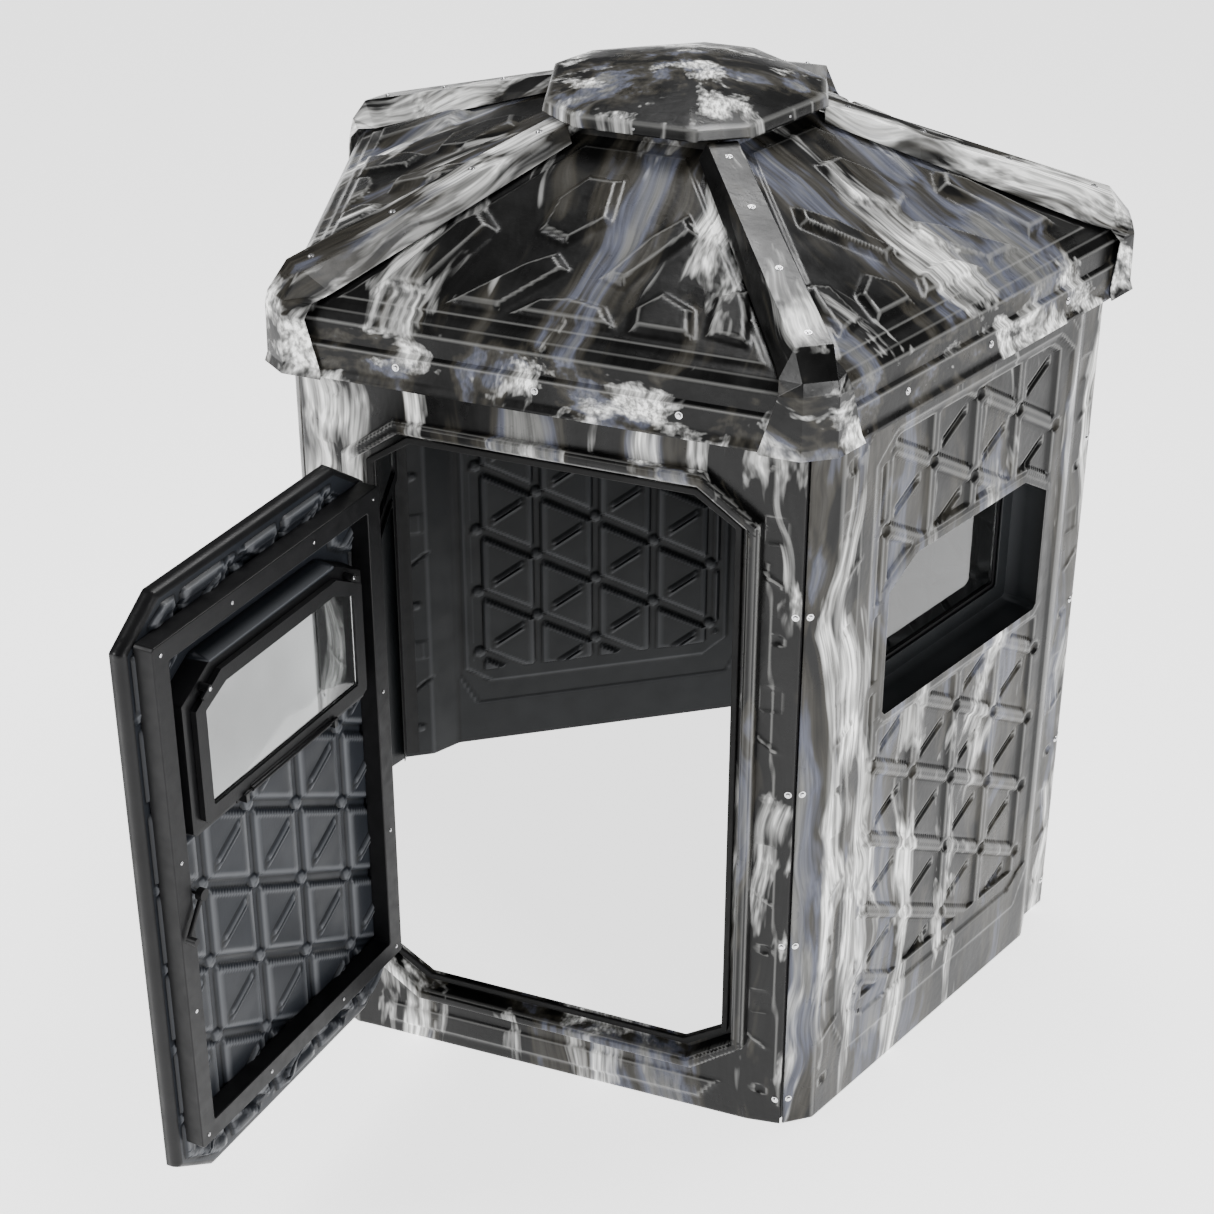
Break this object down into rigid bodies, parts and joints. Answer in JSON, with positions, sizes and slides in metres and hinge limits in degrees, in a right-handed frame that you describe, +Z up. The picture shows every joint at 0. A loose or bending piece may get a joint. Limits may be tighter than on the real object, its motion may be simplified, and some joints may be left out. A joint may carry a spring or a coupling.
{
  "type": "hard-sided ground blind",
  "caption": "Rigid five-sided hunting blind of moulded plastic sheets with a camouflage finish, a hinged door and tilting windows.",
  "frame": {"origin": "on the ground, under the middle of the whole blind with its door standing open", "axes": "+Z up, -Y out through the doorway, +X to the right of someone who looks at the doorway from outside"},
  "size_m": [2.098, 2.8708, 2.3511],
  "materials": {
    "camouflage_shell": "moulded sheet with a streaked camouflage film outside and plain dark grey inside",
    "black_steel": "black powder coat",
    "bare_steel": "zinc plated",
    "black_plastic": "moulded, satin",
    "tinted_pane": "grey tinted clear sheet",
    "seal_rubber": "matt black"
  },
  "bodies": {
    "shell": {"wall_front": "camouflage_shell", "wall_right": "camouflage_shell", "wall_back_right": "camouflage_shell", "wall_back_left": "camouflage_shell", "wall_left": "camouflage_shell", "roof_panel_front": "camouflage_shell", "roof_panel_right": "camouflage_shell", "roof_panel_back_right": "camouflage_shell", "roof_panel_back_left": "camouflage_shell", "roof_panel_left": "camouflage_shell", "corner_post_front_right": "black_steel", "hip_cover_front_right": "camouflage_shell", "corner_post_right_back": "black_steel", "hip_cover_right_back": "camouflage_shell", "corner_post_back": "black_steel", "hip_cover_back": "camouflage_shell", "corner_post_left_back": "black_steel", "hip_cover_left_back": "camouflage_shell", "corner_post_front_left": "black_steel", "hip_cover_front_left": "camouflage_shell", "roof_cap": "camouflage_shell", "doorway_seal": "seal_rubber", "latch_strike": "bare_steel", "window_right_hinge": "black_plastic", "window_back_right_hinge": "black_plastic", "window_back_left_hinge": "black_plastic", "window_left_hinge": "black_plastic", "door_hinge_wall_lower": "black_steel", "door_hinge_wall_middle": "black_steel", "door_hinge_wall_upper": "black_steel"},
    "door": {"door_shell": "camouflage_shell", "door_frame": "black_steel", "door_window_hinge": "black_plastic", "door_hinge_leaf_lower": "black_steel", "door_hinge_leaf_middle": "black_steel", "door_hinge_leaf_upper": "black_steel"},
    "latch": {"latch_arm": "black_steel", "latch_spindle": "bare_steel", "latch_lever": "black_plastic"},
    "door_window": {"door_window_sash": "black_plastic", "door_window_pane": "tinted_pane"},
    "door_catch_left": {"door_window_catch_left": "black_plastic"},
    "door_catch_right": {"door_window_catch_right": "black_plastic"},
    "window_right": {"window_right_sash": "black_plastic", "window_right_pane": "tinted_pane"},
    "catch_right": {"window_right_catch": "black_plastic"},
    "window_back_right": {"window_back_right_sash": "black_plastic", "window_back_right_pane": "tinted_pane"},
    "catch_back_right": {"window_back_right_catch": "black_plastic"},
    "window_back_left": {"window_back_left_sash": "black_plastic", "window_back_left_pane": "tinted_pane"},
    "catch_back_left": {"window_back_left_catch": "black_plastic"},
    "window_left": {"window_left_sash": "black_plastic", "window_left_pane": "tinted_pane"},
    "catch_left": {"window_left_catch": "black_plastic"}
  },
  "joints": [
    {"name": "door_swing", "type": "hinge", "parent": "shell", "child": "door", "pos_m": [-0.445, -0.53925, 0.835], "axis": [0, 0, -1], "range_deg": [-96, 60]},
    {"name": "latch_turn", "type": "hinge", "parent": "door", "child": "latch", "pos_m": [-0.4789, -1.34009, 0.985], "axis": [-0.9945, 0.1045, 0], "range_deg": [-35, 55]},
    {"name": "door_window_tilt", "type": "hinge", "parent": "door", "child": "door_window", "pos_m": [-0.38814, -1.00273, 1.138], "axis": [0.1045, 0.9945, 0], "range_deg": [0, 110]},
    {"name": "door_catch_left_turn", "type": "hinge", "parent": "door", "child": "door_catch_left", "pos_m": [-0.37855, -0.73454, 1.45197], "axis": [0.9945, -0.1045, 0], "range_deg": [-90, 0]},
    {"name": "door_catch_right_turn", "type": "hinge", "parent": "door", "child": "door_catch_right", "pos_m": [-0.43452, -1.26706, 1.45197], "axis": [0.9945, -0.1045, 0], "range_deg": [0, 90]},
    {"name": "window_right_tilt", "type": "hinge", "parent": "shell", "child": "window_right", "pos_m": [0.72593, 0.11017, 1.088], "axis": [-0.309, -0.9511, 0], "range_deg": [0, 110]},
    {"name": "catch_right_turn", "type": "hinge", "parent": "shell", "child": "catch_right", "pos_m": [0.74353, 0.10445, 1.4305], "axis": [-0.9511, 0.309, 0], "range_deg": [0, 90]},
    {"name": "window_back_right_tilt", "type": "hinge", "parent": "shell", "child": "window_back_right", "pos_m": [0.44865, 0.96355, 1.088], "axis": [0.809, -0.5878, 0], "range_deg": [0, 110]},
    {"name": "catch_back_right_turn", "type": "hinge", "parent": "shell", "child": "catch_back_right", "pos_m": [0.45952, 0.97852, 1.4305], "axis": [-0.5878, -0.809, 0], "range_deg": [0, 90]},
    {"name": "window_back_left_tilt", "type": "hinge", "parent": "shell", "child": "window_back_left", "pos_m": [-0.44865, 0.96355, 1.088], "axis": [0.809, 0.5878, 0], "range_deg": [0, 110]},
    {"name": "catch_back_left_turn", "type": "hinge", "parent": "shell", "child": "catch_back_left", "pos_m": [-0.45952, 0.97852, 1.4305], "axis": [0.5878, -0.809, 0], "range_deg": [0, 90]},
    {"name": "window_left_tilt", "type": "hinge", "parent": "shell", "child": "window_left", "pos_m": [-0.72593, 0.11017, 1.088], "axis": [-0.309, 0.9511, 0], "range_deg": [0, 110]},
    {"name": "catch_left_turn", "type": "hinge", "parent": "shell", "child": "catch_left", "pos_m": [-0.74353, 0.10445, 1.4305], "axis": [0.9511, 0.309, 0], "range_deg": [0, 90]}
  ]
}
